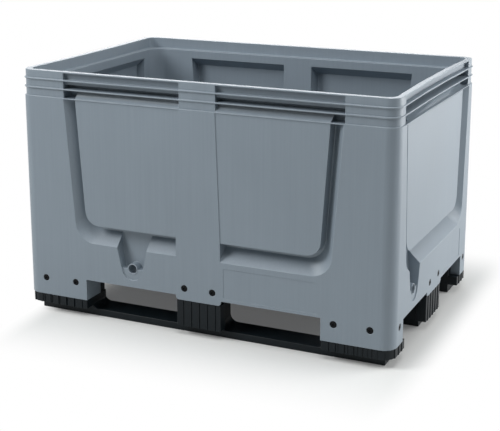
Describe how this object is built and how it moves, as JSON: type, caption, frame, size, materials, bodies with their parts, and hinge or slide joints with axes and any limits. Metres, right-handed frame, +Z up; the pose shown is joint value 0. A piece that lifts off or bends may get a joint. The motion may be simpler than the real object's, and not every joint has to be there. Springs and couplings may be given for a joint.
{
  "type": "plastic pallet box",
  "caption": "Grey moulded pallet box with a ribbed rim, framed wall panels and drain sockets, screwed onto three black runners with openings for forks.",
  "frame": {"origin": "on the floor under the middle of the box", "axes": "+X along the long sides, -Y out of the long side with a drain, +X out of the short side with a drain, +Z up"},
  "size_m": [1.2, 0.8, 0.766],
  "materials": {
    "body_plastic": "fine-grained grey moulded polyethylene with a soft sheen",
    "runner_plastic": "black moulded plastic, matt",
    "screw_plastic": "black moulded screw with a satin head"
  },
  "bodies": {
    "root": {"box_body": "body_plastic", "runner_front": "runner_plastic", "runner_middle": "runner_plastic", "runner_rear": "runner_plastic", "screw_front_1": "screw_plastic", "screw_front_2": "screw_plastic", "screw_front_3": "screw_plastic", "screw_front_4": "screw_plastic", "screw_front_5": "screw_plastic", "screw_front_6": "screw_plastic", "screw_right_1": "screw_plastic", "screw_right_2": "screw_plastic", "screw_right_3": "screw_plastic", "screw_right_4": "screw_plastic", "screw_rear_1": "screw_plastic", "screw_rear_2": "screw_plastic", "screw_rear_3": "screw_plastic", "screw_rear_4": "screw_plastic", "screw_rear_5": "screw_plastic", "screw_rear_6": "screw_plastic", "screw_left_1": "screw_plastic", "screw_left_2": "screw_plastic", "screw_left_3": "screw_plastic", "screw_left_4": "screw_plastic"}
  },
  "joints": []
}
